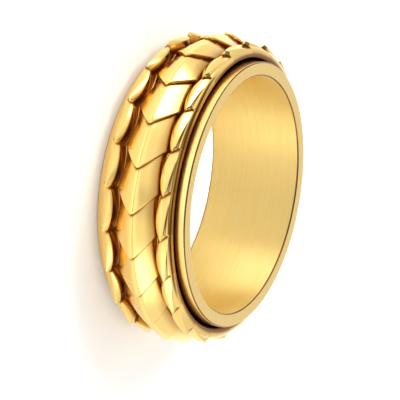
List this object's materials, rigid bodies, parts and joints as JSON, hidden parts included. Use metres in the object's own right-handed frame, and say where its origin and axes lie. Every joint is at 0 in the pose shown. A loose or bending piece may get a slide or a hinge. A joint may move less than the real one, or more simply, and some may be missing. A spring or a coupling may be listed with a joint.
{
  "type": "spinner ring",
  "caption": "Gold finger ring whose outer band, cast with three rows of overlapping scales, spins freely on a plain inner band.",
  "frame": {"origin": "centre of the flat end face that the ring lies on, on the axis of the finger hole", "axes": "+Z along the finger hole's axis, away from the surface; +X and +Y are across the ring, and the scales' tips point round the ring from +X towards +Y"},
  "size_m": [0.0259, 0.026, 0.008],
  "materials": {
    "inner_band": "polished gold plating, finely brushed round the finger hole",
    "spinner": "polished gold plating on cast relief, darker in the grooves"
  },
  "bodies": {
    "inner_band": {"inner_band": "inner_band"},
    "spinner": {"spinner": "spinner"}
  },
  "joints": [
    {"name": "spin", "type": "hinge", "parent": "inner_band", "child": "spinner", "pos_m": [0, 0, 0.004], "axis": [0, 0, 1], "continuous": true}
  ]
}
